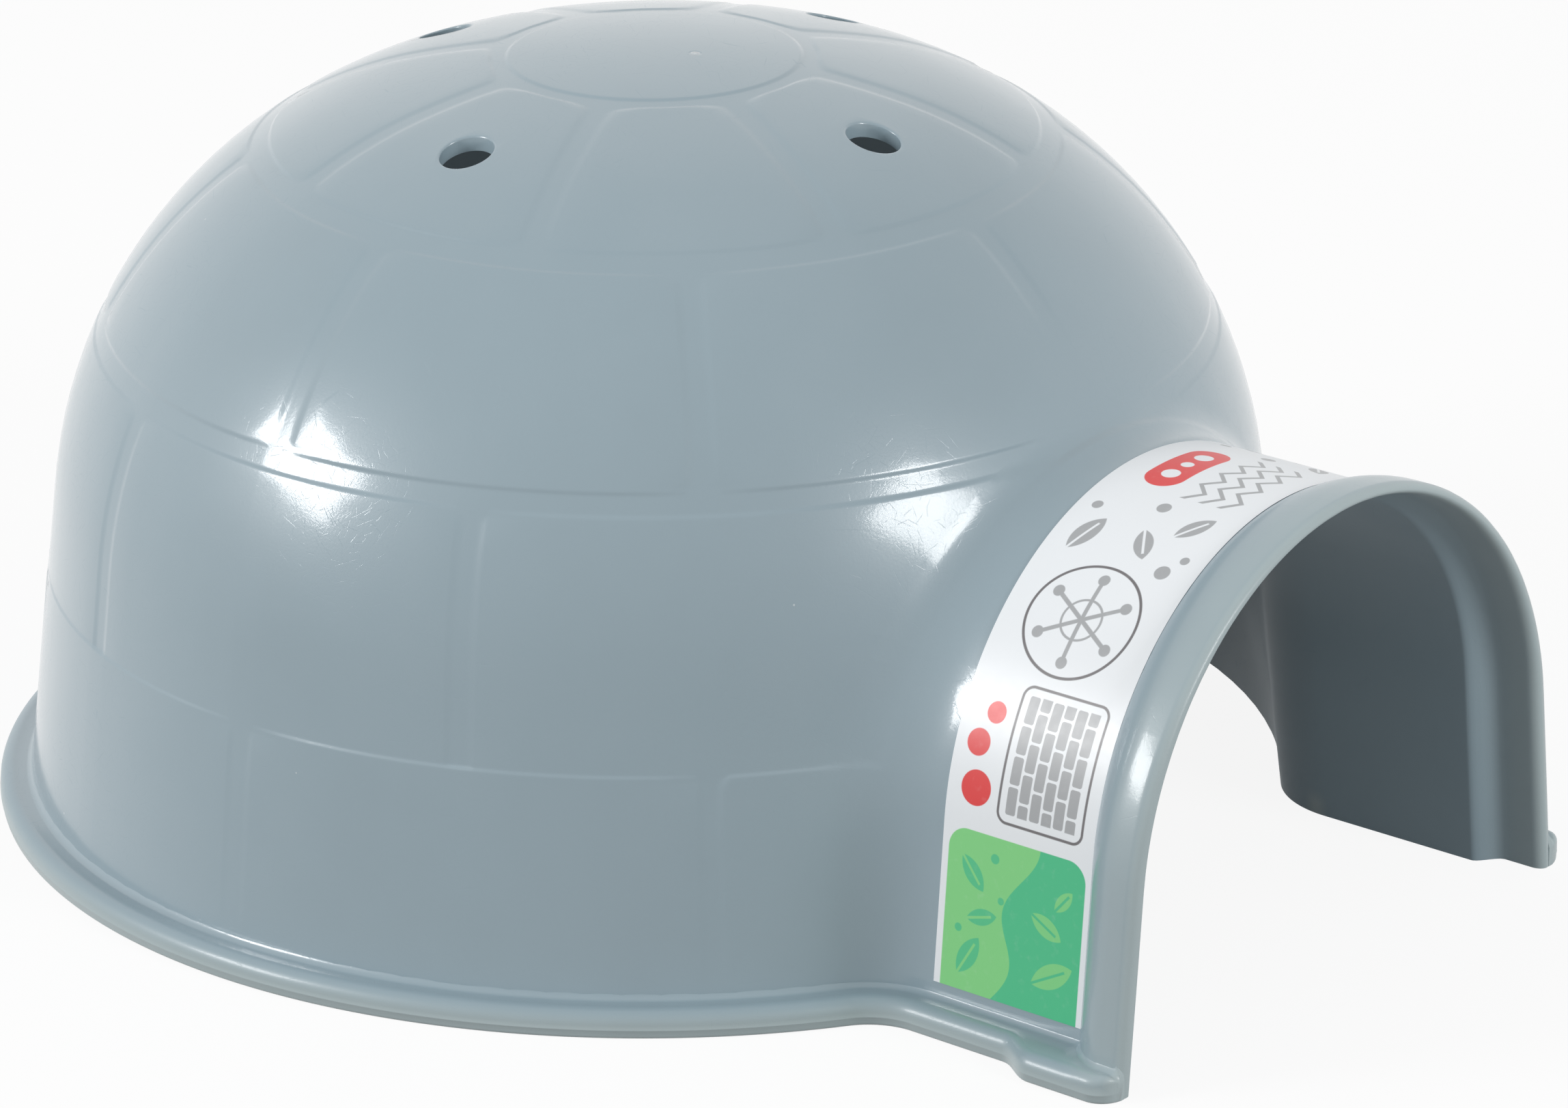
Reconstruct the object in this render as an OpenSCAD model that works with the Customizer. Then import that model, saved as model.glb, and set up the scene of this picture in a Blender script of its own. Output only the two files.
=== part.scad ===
// Rodent igloo: a one-piece moulded plastic dome with an entrance tunnel,
// pressed with snow-block courses, and a paper label wrapped over the tunnel.
// The tunnel points along -Y and the rim stands on z = 0.

/* [Dome] */
// Overall height of the igloo
dome_h = 94; // [88:0.5:110]
// Outside radius of the wall where it meets the ground
base_r = 78.9; // [70:0.5:90]
// Lean of the straight part of the wall
wall_draft = 6.5; // [3:0.5:9]
// Radius of the shoulder between the wall and the crown
shoulder_r = 58.4; // [50:0.5:64]
// Radius of the flat crown
crown_r = 122; // [105:1:150]
// Thickness of the dome's wall
wall_t = 1.6; // [1.2:0.1:2.4]

/* [Rim] */
// How far the rim stands out from the wall
rim_w = 3.6; // [2.6:0.1:5]
// Height of the rim
rim_h = 3.4; // [2.6:0.1:5]
// Rounding of the rim's outer top edge
rim_round = 1.6; // [0.6:0.1:2.2]
// Hollow fillet between the rim and the wall
rim_fillet = 1.5; // [0.6:0.1:2.5]

/* [Tunnel] */
// How far the mouth stands out beyond the foot of the dome's wall
tunnel_reach = 25.6; // [20:0.2:44]
// Outside half width of the neck at the ground
neck_half_w = 39.8; // [34:0.2:44]
// Outside height of the neck's crown
neck_h = 58.5; // [50:0.5:62]
// Lean of the tunnel's legs
leg_draft = 5.8; // [3:0.2:8]
// Thickness of the tunnel's wall
tunnel_t = 1.8; // [1.4:0.1:2.6]
// Length of the plain neck that carries the label
neck_len = 21.8; // [16:0.2:28]
// Length of the collar at the mouth
collar_len = 5.4; // [4:0.2:8]
// Length of the step between neck and collar
collar_step = 3; // [2:0.2:5]
// How far the collar stands out beyond the neck's legs
collar_out = 3.6; // [2.4:0.1:4.2]
// How far the collar stands up above the neck's crown
collar_up = 1.7; // [1:0.1:2.6]
// How far the passage widens at the mouth, on each side
mouth_out = 2.8; // [1.8:0.1:3]
// How far the passage rises at the mouth
mouth_up = 1.9; // [1:0.1:2]
// Rounding of the mouth's edge
lip_round = 0.8; // [0.4:0.1:0.9]
// Length of the blend from the neck to the dome
blend_len = 6.2; // [4:0.2:9]

/* [Foot] */
// How far the foot under the collar stands out from the neck
foot_out = 6.2; // [5:0.1:9]
// Length of the foot, back from the mouth
foot_len = 13.4; // [9:0.2:18]
// Rounding of the foot's corners seen from above
foot_corner = 2.4; // [1.2:0.1:2.5]

/* [Blocks] */
// Number of snow blocks in each course
block_n = 8; // [6:1:10]
// Width of the joints between blocks
joint_w = 3; // [2:0.2:5]
// Depth of the joints
joint_depth = 0.4; // [0.2:0.05:0.6]
// How far each course is set back above the one below it
course_set = 0.3; // [0.2:0.05:0.4]
// Height of the bed joint between courses
bed_w = 2.8; // [1.6:0.1:3.4]
// Radius of the plain disc at the crown
disc_r = 17.6; // [14:0.2:21]

/* [Vents] */
// Number of vent holes
vent_n = 4; // [2:1:4]
// Diameter of a vent hole
vent_d = 6.5; // [4:0.1:9]
// Radius of the circle that the vents lie on
vent_ring_r = 34; // [30:0.5:38]

/* [Label] */
// Thickness of the label
label_t = 0.15; // [0.1:0.05:0.3]
// Height of the label's ends above the ground
label_end = 5.2; // [5:0.2:20]
// Bare strip of neck beside the label
label_margin = 0.3; // [0.2:0.1:2]

/* [Hidden] */
plastic = [0.60, 0.66, 0.70];
paper = [0.93, 0.94, 0.95];

// Distance from the dome's axis to the face of the mouth
mouth_reach = base_r + tunnel_reach;

// Middle of the whole outline, between the mouth and the back of the rim
dome_y = (mouth_reach - base_r - rim_w) / 2;

// Heights of the course lines
course_share = [0.316, 0.629, 0.870];
course_z = [for (share = course_share) share * dome_h];
course_n = len(course_z);
round_fn = 64;
eps = 0.01;

// Share of a wall's thickness that the pieces standing on it reach into it, and
// how far the end of a fillet dips into the wall that it meets
rooted = 0.7;
dip = 0.03;
slack = 0.02;

// Height of the smooth skin that the courses are set back from
skin_h = dome_h + course_set;

// Shoulder circle: touches the leaning wall and runs into the crown circle
wall_off = base_r * cos(wall_draft) - shoulder_r;
foot_pt = wall_off * [cos(wall_draft), sin(wall_draft)];
wall_dir = [-sin(wall_draft), cos(wall_draft)];
crown_c = [0, skin_h - crown_r];
to_crown = foot_pt - crown_c;
along = to_crown * wall_dir;
apart = to_crown * to_crown - pow(crown_r - shoulder_r, 2);
shoulder_c = foot_pt + (sqrt(along * along - apart) - along) * wall_dir;
shoulder_end = atan2(shoulder_c[1] - crown_c[1], shoulder_c[0] - crown_c[0]);

// Radius of the dome at height z, for a surface that lies t inside the outer one
function dome_r(z, t = 0) =
    z < shoulder_c[1] + (shoulder_r - t) * sin(wall_draft)
    ? base_r - t / cos(wall_draft) - z * tan(wall_draft)
    : z < crown_c[1] + (crown_r - t) * sin(shoulder_end)
    ? shoulder_c[0] + sqrt(max(pow(shoulder_r - t, 2) - pow(z - shoulder_c[1], 2), 0))
    : sqrt(max(pow(crown_r - t, 2) - pow(z - crown_c[1], 2), 0));

// Outline of the dome from the ground to the crown, t inside the outer one
shoulder_n = 12;
crown_n = 8;
function shoulder_pt(k, t) =
    let (a = wall_draft + (shoulder_end - wall_draft) * k / shoulder_n)
    shoulder_c + (shoulder_r - t) * [cos(a), sin(a)];
function crown_pt(k, t) =
    let (a = shoulder_end + (90 - shoulder_end) * k / crown_n)
    crown_c + (crown_r - t) * [cos(a), sin(a)];
function dome_outline(t, z0) = concat(
    [[0, z0], [dome_r(z0, t), z0]],
    [for (k = [0:shoulder_n]) shoulder_pt(k, t)],
    [for (k = [1:crown_n - 1]) crown_pt(k, t)],
    [[0, skin_h - t]]
);

// Solid dome whose surface lies t inside the outer one
module dome_solid(t, z0 = 0) {
    rotate_extrude($fn = round_fn) polygon(dome_outline(t, z0));
}

// Half plane above a height, for cutting the courses apart
module above(z) {
    translate([0, z]) square([base_r + rim_w, dome_h]);
}

// Outline of the dome with the courses set back and the bed joints pressed in
module course_outline() {
    union() {
        difference() {
            polygon(dome_outline(0, 0));
            above(course_z[0]);
        }
        difference() {
            polygon(dome_outline(course_set, 0));
            for (k = [1:course_n - 1])
                bed_joint(course_z[k]);
            disc_joint();
        }
    }
}

// Bed joint: a ledge below, and a slope above that lets the mould pull off
module bed_joint(z) {
    lean = atan2(dome_r(z) - dome_r(z + 1), 1);
    clear = 2.5 * joint_depth;
    translate([dome_r(z, course_set), z]) rotate([0, 0, lean])
        polygon([
            [clear, 0],
            [-joint_depth, 0],
            [-joint_depth, bed_w * 0.6],
            [0, bed_w],
            [clear, bed_w * 2]
        ]);
}

// Ring pressed in round the plain disc at the crown
module disc_joint() {
    middle = disc_r + bed_w / 2;
    top = crown_c[1] + sqrt(pow(crown_r - course_set, 2) - pow(middle, 2));
    translate([disc_r, top - joint_depth]) square([bed_w, 4 * joint_depth]);
}

// Upright joints between the blocks of one course, half a block on from the next
module upright_joints(course, r0, z0, z1) {
    turn = 360 / block_n;
    start = course % 2 == 0 ? 0 : turn / 2;
    for (k = [0:block_n - 1])
        rotate([0, 0, start + k * turn])
            translate([r0, -joint_w / 2, z0])
                cube([base_r, joint_w, z1 - z0]);
}

// All upright joints, down to the depth of a joint
module block_joints() {
    half_bed = bed_w / 2;
    difference() {
        upright_joints(0, 0, rim_h + rim_fillet, course_z[0] - half_bed);
        dome_solid(joint_depth, -1);
    }
    difference() {
        union() {
            upright_joints(1, 0, course_z[0] + half_bed, course_z[1] - eps);
            upright_joints(2, 0, course_z[1] + half_bed, course_z[2] - eps);
            upright_joints(3, disc_r + half_bed, course_z[2] + half_bed, skin_h);
        }
        dome_solid(course_set + joint_depth, -1);
    }
}

// Points on an arc, from angle a0 to a1
function arc(c, r, a0, a1, n = 6) =
    [for (k = [0:n]) let (a = a0 + (a1 - a0) * k / n) c + r * [cos(a), sin(a)]];

// Section of the rim: x = 0 on the wall at the ground. It is made slack smaller
// where its end lies inside a neighbour, so that no two skins lie together.
function rim_pts(slack = 0) =
    let (width = rim_w - slack)
    let (height = rim_h - slack)
    let (fillet_z = height + rim_fillet)
    let (fillet_x = (rim_fillet - fillet_z * sin(wall_draft)) / cos(wall_draft) - dip)
    let (fillet = arc([fillet_x, fillet_z], rim_fillet, 270, 180 + wall_draft))
    let (inside = 10 * slack - wall_t * rooted)
    concat(
        [[inside, 0], [width, 0]],
        arc([width - rim_round, height - rim_round], rim_round, 0, 90),
        fillet,
        [[inside, fillet[len(fillet) - 1][1]]]
    );

// Points with x turned round for the left side (-1) or left as they are (1)
function sided(pts, side) = [for (q = pts) [side * q[0], q[1]]];

// The rim is a chain: round the dome, round an inside corner whose centre lies
// outside, and along the tunnel. The corner runs a little way into both.
corner_r = blend_len / tan(30) - rim_w;
corner_x = neck_half_w + rim_w + corner_r;
corner_y = -sqrt(pow(base_r + rim_w + corner_r, 2) - pow(corner_x, 2));
corner_turn = atan2(corner_x, -corner_y);

module dome_rim() {
    rotate([0, 0, corner_turn - 90])
        rotate_extrude(angle = 360 - 2 * corner_turn, $fn = round_fn)
            translate([base_r, 0]) polygon(rim_pts());
}

module corner_rim(side) {
    more = 1.5;
    sweep = 90 - corner_turn + 2 * more;
    start = side > 0 ? 180 + more - sweep : -more;
    pts = [for (q = rim_pts(2 * slack)) [corner_r + rim_w - q[0], q[1]]];
    translate([side * corner_x, corner_y, 0]) rotate([0, 0, start])
        rotate_extrude(angle = sweep, $fn = round_fn) polygon(pts);
}

// Straight rim along one side of the tunnel, into the middle of the foot
module side_rim(side) {
    translate([side * neck_half_w, corner_y, 0]) rotate([90, 0, 0])
        linear_extrude(corner_y + mouth_reach - foot_len / 2)
            polygon(sided(rim_pts(slack), side));
}

// Foot under the collar: a slab with its outer corners and top edges rounded
module foot(side) {
    inner = neck_half_w - tunnel_t * rooted;
    wide = foot_out - foot_corner + tunnel_t * rooted;
    long = foot_len - 2 * foot_corner;
    edge = concat([[-eps, 0], [foot_corner, 0]],
        arc([foot_corner - rim_round, rim_h - rim_round], rim_round, 0, 90), [[-eps, rim_h]]);
    corner = [for (q = edge) [max(q[0], 0), q[1]]];
    translate([side * (inner + wide / 2), -mouth_reach + slack + foot_len / 2, 0]) {
        translate([-wide / 2, -long / 2, 0])
            cube([wide, long, rim_h]);
        translate([side * wide / 2, long / 2, 0]) rotate([90, 0, 0])
            linear_extrude(long) polygon(sided(edge, side));
        for (end = [-1, 1]) {
            translate([-end * wide / 2, end * long / 2, 0]) rotate([90, 0, 90 * end])
                linear_extrude(wide) polygon(edge);
            translate([side * wide / 2, end * long / 2, 0])
                rotate([0, 0, 45 + side * (45 * end - 90)])
                    rotate_extrude(angle = 90, $fn = round_fn) polygon(corner);
        }
    }
}

// Everything on the ground on one side of the tunnel
module ground_side(side) {
    corner_rim(side);
    side_rim(side);
    foot(side);
}

// Tunnel outline at one station: the legs lean in and touch the crown circle.
// w is the half width at the ground and h the height; station 0 is at z0.
leg_n = 3;
arc_n = 30;
station_n = 2 * leg_n + arc_n;
function arch_crown_r(w, h) = (w * cos(leg_draft) - h * sin(leg_draft)) / (1 - sin(leg_draft));
function arch_side(w, h, k, z0) =
    let (r = arch_crown_r(w, h))
    let (top = [r * cos(leg_draft), h - r + r * sin(leg_draft)])
    let (low = [w - z0 * tan(leg_draft), z0])
    low + (top - low) * k / leg_n;
function arch_pt(w, h, s, z0 = 0) =
    let (r = arch_crown_r(w, h))
    let (a = leg_draft + (180 - 2 * leg_draft) * (s - leg_n) / arc_n)
    s < leg_n ? arch_side(w, h, s, z0)
    : s > leg_n + arc_n
    ? let (p = arch_side(w, h, station_n - s, z0)) [-p[0], p[1]]
    : [r * cos(a), h - r + r * sin(a)];

// The same outline moved out by u
function arch_out(w, h, u, s, z0 = 0) = arch_pt(w + u / cos(leg_draft), h + u, s, z0);

// Where the blend leaves the neck
blend_y = -mouth_reach + collar_len + collar_step + neck_len;

// One row of the blend at station s: f runs from 0 on the neck to 1 on the dome.
// t is the depth below the outer surface of the dome, and sink takes the end
// just under the dome's surface.
function dome_front(p, t) = -sqrt(max(pow(dome_r(p[1], t), 2) - p[0] * p[0], 1));
function blend_pt(w, h, t, s, f, z0, sink) =
    let (p0 = arch_pt(w, h, s, z0))
    let (y_meet = dome_front(p0, t))
    let (slope = dome_front(arch_out(w, h, 1, s, z0), t) - y_meet)
    let (reach = abs(blend_y - y_meet))
    let (u_end = reach / sqrt(1 + slope * slope))
    let (y_end = dome_front(arch_out(w, h, u_end, s, z0), t) + sink)
    let (u = f * f * u_end)
    let (p = arch_out(w, h, u, s, z0))
    let (y = pow(1 - f, 2) * blend_y + 2 * f * (1 - f) * y_meet + f * f * y_end)
    [p[0], y, p[1]];

// Last two rows, inside the dome
root_grow = 2;
root_in = 7;
function root_pt(w, h, t, s, z0, part) =
    let (p = arch_out(w, h, part == 0 ? root_grow : 0, s, z0))
    [p[0], part == 0 ? dome_front(p, t) + root_in : -base_r / 2, p[1]];

// Rows along the collar: distance back from the mouth and share of the full step
function ease(x) = x * x * (3 - 2 * x);
step_n = 5;
collar_rows = [for (k = [0:step_n])
    [collar_len + collar_step * k / step_n, 1 - ease(k / step_n)]];

// Rows round the lip: distance back from the mouth, and how far it is cut back
lip_n = 3;
lip_rows = [for (k = [lip_n:-1:0])
    let (a = 90 * k / lip_n)
    lip_round * [1 - sin(a), 1 - cos(a)]];

// Solid that fills the tunnel, out to half width w and height h. grow is the
// collar's step at the legs and at the crown; t and sink are as in blend_pt; z0 is
// the lowest height. lip is -1 to round the mouth's edge off and 1 to flare it,
// and front takes the solid on beyond the mouth.
module tunnel_solid(w, h, grow, t, sink, z0, lip, front) {
    blend_n = 7;
    spout = front > 0 ? [[-mouth_reach - front, 1, lip * lip_round]] : [];
    lips = [for (q = lip_rows) [-mouth_reach + q[0], 1, lip * q[1]]];
    collar = [for (c = collar_rows) [-mouth_reach + c[0], c[1], 0]];
    rows = concat(
        [for (f = concat(spout, lips, collar))
            [for (s = [0:station_n])
                let (p = arch_pt(w + grow[0] * f[1] + f[2], h + grow[1] * f[1] + f[2], s, z0))
                [p[0], f[0], p[1]]]],
        [for (k = [0:blend_n])
            [for (s = [0:station_n]) blend_pt(w, h, t, s, k / blend_n, z0, sink)]],
        [for (part = [0, 1])
            [for (s = [0:station_n]) root_pt(w, h, t, s, z0, part)]]
    );
    row_n = len(rows);
    wide = station_n + 1;
    pts = [for (r = rows) for (p = r) p];
    sides = [for (j = [0:row_n - 2]) for (s = [0:station_n - 1])
        for (half = [0, 1])
            let (a = j * wide + s)
            half == 0 ? [a, a + 1, a + wide + 1] : [a, a + wide + 1, a + wide]];
    floor_faces = [for (j = [0:row_n - 2])
        for (half = [0, 1])
            let (a = j * wide + station_n)
            let (b = j * wide)
            half == 0 ? [a, b, b + wide] : [a, b + wide, a + wide]];
    front_cap = [for (s = [station_n:-1:0]) s];
    back_cap = [for (s = [0:station_n]) (row_n - 1) * wide + s];
    polyhedron(pts, concat(sides, floor_faces, [front_cap, back_cap]), convexity = 6);
}

// Outer skin of the tunnel as a solid, its root deeper than the block joints
module tunnel_outer() {
    sink = course_set + joint_depth + 0.1;
    tunnel_solid(neck_half_w, neck_h, [collar_out, collar_up], 0, sink, 0, -1, 0);
}

// Passage through the tunnel
module tunnel_passage() {
    tunnel_solid(neck_half_w - tunnel_t, neck_h - wall_t, [mouth_out, mouth_up],
        wall_t + course_set, 0.2, -1, 1, 1);
}

module vents() {
    for (k = [0:vent_n - 1])
        rotate([0, 0, k * 360 / vent_n])
            translate([vent_ring_r, 0, dome_h / 2])
                cylinder(h = dome_h, d = vent_d, $fn = 48);
}

module igloo_shell() {
    color(plastic)
    translate([0, dome_y, 0])
    difference() {
        union() {
            difference() {
                rotate_extrude($fn = round_fn) course_outline();
                block_joints();
            }
            dome_rim();
            tunnel_outer();
            ground_side(1);
            ground_side(-1);
        }
        union() {
            dome_solid(wall_t + course_set, -1);
            tunnel_passage();
        }
        vents();
    }
}

// Stations of the label along the neck, from one end to the other
function label_pt(u, s) =
    s == 0 ? arch_pt(neck_half_w + u / cos(leg_draft), neck_h + u, 0, label_end)
    : s == station_n ? let (p = label_pt(u, 0)) [-p[0], p[1]]
    : arch_out(neck_half_w, neck_h, u, s);

module wrap_label() {
    inner = [for (s = [0:station_n]) label_pt(0, s)];
    outer = [for (s = [station_n:-1:0]) label_pt(label_t, s)];
    color(paper)
    translate([0, dome_y + blend_y - label_margin, 0]) rotate([90, 0, 0])
        linear_extrude(neck_len - 2 * label_margin) polygon(concat(inner, outer));
}

igloo_shell();
wrap_label();
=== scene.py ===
import math
import bmesh
import bpy
import numpy as np
from mathutils import Matrix, Vector


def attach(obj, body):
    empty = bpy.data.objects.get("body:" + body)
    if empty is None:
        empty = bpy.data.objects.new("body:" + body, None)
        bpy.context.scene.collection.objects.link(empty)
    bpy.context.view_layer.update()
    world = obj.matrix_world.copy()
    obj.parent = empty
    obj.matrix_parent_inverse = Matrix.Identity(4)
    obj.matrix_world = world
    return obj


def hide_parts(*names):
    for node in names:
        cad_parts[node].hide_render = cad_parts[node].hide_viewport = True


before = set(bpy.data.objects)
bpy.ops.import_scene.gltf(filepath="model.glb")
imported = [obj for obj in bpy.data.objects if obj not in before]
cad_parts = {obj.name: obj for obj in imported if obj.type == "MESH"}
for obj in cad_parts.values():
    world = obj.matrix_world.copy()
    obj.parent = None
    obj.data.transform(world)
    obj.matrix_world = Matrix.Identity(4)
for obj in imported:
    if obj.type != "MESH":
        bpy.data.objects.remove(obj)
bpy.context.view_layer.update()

# The igloo is worked out in millimetres round the dome's axis, with the tunnel
# towards -Y and the ground at z = 0, and moved into the frame at the end.
domeY = 11.0
toFrame = Matrix.Scale(0.001, 4) @ Matrix.Translation((0, domeY, 0))


# Shader maths: a Signal wraps a socket, and expressions on it add nodes

class Signal:
    def __init__(self, tree, socket):
        self.tree = tree
        self.socket = socket

    def node(self, kind, settings=None, inputs=None, output=0):
        made = self.tree.nodes.new(kind)
        for name, value in (settings or {}).items():
            setattr(made, name, value)
        for key, value in (inputs or {}).items():
            if isinstance(value, Signal):
                self.tree.links.new(value.socket, made.inputs[key])
            else:
                made.inputs[key].default_value = value
        return Signal(self.tree, made.outputs[output])

    def math(self, operation, *others):
        values = dict(enumerate((self, *others)))
        return self.node("ShaderNodeMath", {"operation": operation}, values)

    def __add__(self, other):
        return self.math("ADD", other)

    __radd__ = __add__

    def __sub__(self, other):
        return self.math("SUBTRACT", other)

    def __rsub__(self, other):
        return self.node("ShaderNodeMath", {"operation": "SUBTRACT"}, {0: other, 1: self})

    def __mul__(self, other):
        return self.math("MULTIPLY", other)

    __rmul__ = __mul__

    def __truediv__(self, other):
        return self.math("DIVIDE", other)

    def __rtruediv__(self, other):
        return self.node("ShaderNodeMath", {"operation": "DIVIDE"}, {0: other, 1: self})

    def __pow__(self, other):
        return self.math("POWER", other)

    def __abs__(self):
        return self.math("ABSOLUTE")

    def least(self, other):
        return self.math("MINIMUM", other)

    def most(self, other):
        return self.math("MAXIMUM", other)

    # 0 below low, 1 above high, smooth between
    def ramp(self, low, high):
        settings = {"interpolation_type": "SMOOTHSTEP"}
        return self.node("ShaderNodeMapRange", settings, {0: self, 1: low, 2: high})

    # This colour, or the other where the mask is 1
    def blend(self, mask, other):
        settings = {"data_type": "RGBA"}
        return self.node("ShaderNodeMix", settings, {0: mask, 6: self, 7: other}, 2)

    def vector(self, operation, *others, output=0):
        values = dict(enumerate((self, *others)))
        return self.node("ShaderNodeVectorMath", {"operation": operation}, values, output)

    def parts(self):
        made = self.node("ShaderNodeSeparateXYZ", {}, {0: self}).socket.node
        return [Signal(self.tree, output) for output in made.outputs]

    # Noise at this place, for cells of 1 / scale metres
    def noise(self, scale, detail):
        return self.node("ShaderNodeTexNoise", {}, {"Vector": self, "Scale": scale, "Detail": detail})

    # The normal that this height, in metres, gives
    def bump(self):
        return self.node("ShaderNodeBump", {}, {"Height": self, "Distance": 1.0, "Strength": 1.0})


def plainColour(tree, colour):
    made = tree.nodes.new("ShaderNodeRGB")
    made.outputs[0].default_value = colour
    return Signal(tree, made.outputs[0])


def coordinates(tree, kind):
    return Signal(tree, tree.nodes.new("ShaderNodeTexCoord").outputs[kind])


# Several masks laid together
def together(masks):
    whole, *others = masks
    for mask in others:
        whole = whole.most(mask)
    return whole


def distance(s, v, atS, atV):
    return ((s - atS) ** 2 + (v - atV) ** 2) ** 0.5


# 1 for what the camera, a reflection or a clear piece sees, 0 for other light
def seenDirectly(tree):
    path = tree.nodes.new("ShaderNodeLightPath")
    rays = ["Is Camera Ray", "Is Glossy Ray", "Is Transmission Ray"]
    return together([Signal(tree, path.outputs[ray]) for ray in rays])


def startMaterial(name):
    material = bpy.data.materials.new(name)
    material.use_nodes = True
    tree = material.node_tree
    return material, tree, tree.nodes["Principled BSDF"]


def feed(tree, shader, name, signal):
    tree.links.new(signal.socket, shader.inputs[name])


# Shapes that the shell, the rim and the label share

dome = {
    "height": 94.0,
    "baseRadius": 78.9,
    "wallLean": 6.5,
    "shoulderRadius": 58.4,
    "crownRadius": 122.0,
    "wall": 1.9,
    "columns": 288,
    "lowRows": [0.0, 1.6, 3.2, 4.8],
    "rowGap": 3.0,
    "levelInside": (46.0, 41.0),  # radii between which the inside turns level
    "upperRadius": 50.0,
    "upperZ": 75.0,
}

tunnel = {
    "mouthY": -104.5,
    "collarY": -99.1,
    "stepY": -96.1,
    "blendY": -74.3,
    "halfWidth": 39.8,
    "crownHeight": 58.5,
    "legLean": 5.8,
    "flareY": -95.85,
    "flareEndY": -101.3,
    "collarOut": 3.6,
    "collarUp": 1.7,
    "wall": 1.8,
    "crownWall": 1.6,
    "mouthOut": 2.8,
    "mouthUp": 1.9,
    "lipRound": 1.4,
    "outerLip": 0.56,
    "innerLip": 0.4,
    "neckRows": [-76.0, -82.0, -89.0],
    "collarRows": [-96.05, -96.3, -96.7, -97.1, -97.6, -98.1, -98.6, -99.1, -99.9, -100.7, -101.5, -102.3],
    "lipAngles": [15.0, 30.0, 45.0, 60.0, 75.0, 90.0],
    "blendSteps": 18,
}

courses = {
    "lines": [29.9, 60.2, 90.4],
    "bedTops": [29.9, 62.9, 93.5],
    "discRing": [122.1, 124.1],
    "blocks": 8,
    "jointWidth": 3.0,
    "jointDepth": 0.17,
    "uprightDepth": 0.15,
    "lowUprightDepth": 0.04,
    "setBack": 0.13,
    "corner": 2.2,
    "edge": 0.31,
    "ledgeEdge": 0.2,
    "uprightEdge": 0.65,
    "startZ": (4.2, 5.4),
    "archFade": (11.0, 2.0),
    "frontY": -20.0,
    "blendFade": (0.45, 0.38),
    "shallowFrom": (0.8, 4.0),  # distances from a bed joint
    "near": [0.1, 0.26, 0.45, 0.9, 1.6],  # rows on both sides of a bed joint
    "columnShare": 2 / 3,  # of the columns, gathered at an upright joint
    "columnWidth": 2.1,
}

vents = {
    "count": 4,
    "diameter": 6.5,
    "ringRadius": 34.0,
    "edgeRound": 0.25,
    "edgeAngles": [30.0, 60.0, 90.0],
    "sides": 48,
}

lean = math.radians(dome["wallLean"])
skinTop = dome["height"] + courses["setBack"]
crownZ = skinTop - dome["crownRadius"]
wallOff = dome["baseRadius"] * math.cos(lean) - dome["shoulderRadius"]
wallFoot = np.array([math.cos(lean), math.sin(lean)]) * wallOff
wallUp = np.array([-math.sin(lean), math.cos(lean)])
toCrown = wallFoot - np.array([0.0, crownZ])
alongWall = toCrown @ wallUp
apart = toCrown @ toCrown - (dome["crownRadius"] - dome["shoulderRadius"]) ** 2
shoulderC = wallFoot + (math.sqrt(alongWall ** 2 - apart) - alongWall) * wallUp
shoulderEnd = math.atan2(shoulderC[1] - crownZ, shoulderC[0])
wallLength = (shoulderC[1] + dome["shoulderRadius"] * math.sin(lean)) / math.cos(lean)
shoulderLength = dome["shoulderRadius"] * (shoulderEnd - lean)
crownLength = dome["crownRadius"] * (math.pi / 2 - shoulderEnd)
profileLength = wallLength + shoulderLength + crownLength


# Angle of the dome's normal above the horizontal, at a distance up its side
def profileAngle(t):
    onShoulder = lean + (t - wallLength) / dome["shoulderRadius"]
    onCrown = shoulderEnd + (t - wallLength - shoulderLength) / dome["crownRadius"]
    angle = np.where(t < wallLength, lean, onShoulder)
    return np.where(t > wallLength + shoulderLength, onCrown, angle)


# Radius and height of the dome's skin at a distance up its side, set in by depth
def profilePoint(t, depth=0.0):
    angle = profileAngle(t)
    c, s = np.cos(angle), np.sin(angle)
    wallR = dome["baseRadius"] - t * math.sin(lean) - depth * math.cos(lean)
    wallZ = t * math.cos(lean) - depth * math.sin(lean)
    shoulder = dome["shoulderRadius"] - depth
    crown = dome["crownRadius"] - depth
    r = np.where(t < wallLength, wallR, shoulderC[0] + shoulder * c)
    z = np.where(t < wallLength, wallZ, shoulderC[1] + shoulder * s)
    onCrown = t > wallLength + shoulderLength
    return np.where(onCrown, crown * c, r), np.where(onCrown, crownZ + crown * s, z)


# Distance up the dome's side of a point near its skin
def profilePlace(r, z):
    onShoulder = np.arctan2(z - shoulderC[1], r - shoulderC[0])
    onCrown = np.arctan2(z - crownZ, r)
    t = np.where(
        onShoulder < lean,
        z / math.cos(lean),
        wallLength + (onShoulder - lean) * dome["shoulderRadius"],
    )
    crownPlace = wallLength + shoulderLength + (onCrown - shoulderEnd) * dome["crownRadius"]
    return np.where(onCrown > shoulderEnd, crownPlace, t)


# Radius of the dome at height z
def domeRadius(z, depth=0.0):
    shoulder = dome["shoulderRadius"] - depth
    crown = dome["crownRadius"] - depth
    wallR = dome["baseRadius"] - depth / math.cos(lean) - z * math.tan(lean)
    shoulderR = shoulderC[0] + np.sqrt(np.maximum(shoulder ** 2 - (z - shoulderC[1]) ** 2, 0))
    crownR = np.sqrt(np.maximum(crown ** 2 - (z - crownZ) ** 2, 0))
    r = np.where(z < shoulderC[1] + shoulder * math.sin(lean), wallR, shoulderR)
    return np.where(z > crownZ + crown * math.sin(shoulderEnd), crownR, r)


tilt = math.radians(tunnel["legLean"])


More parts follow.
